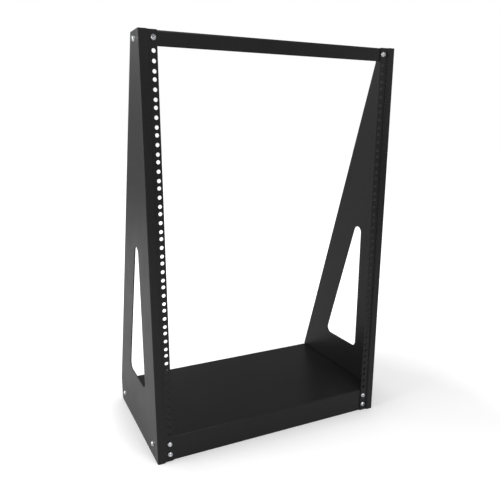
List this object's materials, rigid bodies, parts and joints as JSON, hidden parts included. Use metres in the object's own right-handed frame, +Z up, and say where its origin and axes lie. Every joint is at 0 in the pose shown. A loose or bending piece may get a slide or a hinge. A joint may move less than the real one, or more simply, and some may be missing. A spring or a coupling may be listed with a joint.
{
  "type": "two post open frame rack",
  "caption": "Black sheet steel desktop rack: two bent side frames with slanted rear edges and triangular cut-outs, joined by a top bar and a base tray.",
  "frame": {"origin": "on the ground, in the middle of the rack's width and depth", "axes": "+X to the right seen from the front, +Y towards the rear, +Z up"},
  "size_m": [0.5232, 0.3023, 0.7896],
  "materials": {
    "powder_coat": "matte black powder coat",
    "bright_zinc": "bright zinc plating"
  },
  "bodies": {
    "root": {"left_side_frame": "powder_coat", "right_side_frame": "powder_coat", "top_bar": "powder_coat", "base_tray": "powder_coat", "left_post_top_bolt": "bright_zinc", "left_post_foot_upper_bolt": "bright_zinc", "left_post_foot_lower_bolt": "bright_zinc", "left_panel_top_bolt": "bright_zinc", "left_panel_foot_front_bolt": "bright_zinc", "left_panel_foot_rear_bolt": "bright_zinc", "right_post_top_bolt": "bright_zinc", "right_post_foot_upper_bolt": "bright_zinc", "right_post_foot_lower_bolt": "bright_zinc", "right_panel_top_bolt": "bright_zinc", "right_panel_foot_front_bolt": "bright_zinc", "right_panel_foot_rear_bolt": "bright_zinc", "left_post_top_nut": "bright_zinc", "left_post_foot_upper_nut": "bright_zinc", "left_post_foot_lower_nut": "bright_zinc", "left_panel_top_nut": "bright_zinc", "left_panel_foot_front_nut": "bright_zinc", "left_panel_foot_rear_nut": "bright_zinc", "right_post_top_nut": "bright_zinc", "right_post_foot_upper_nut": "bright_zinc", "right_post_foot_lower_nut": "bright_zinc", "right_panel_top_nut": "bright_zinc", "right_panel_foot_front_nut": "bright_zinc", "right_panel_foot_rear_nut": "bright_zinc"}
  },
  "joints": []
}
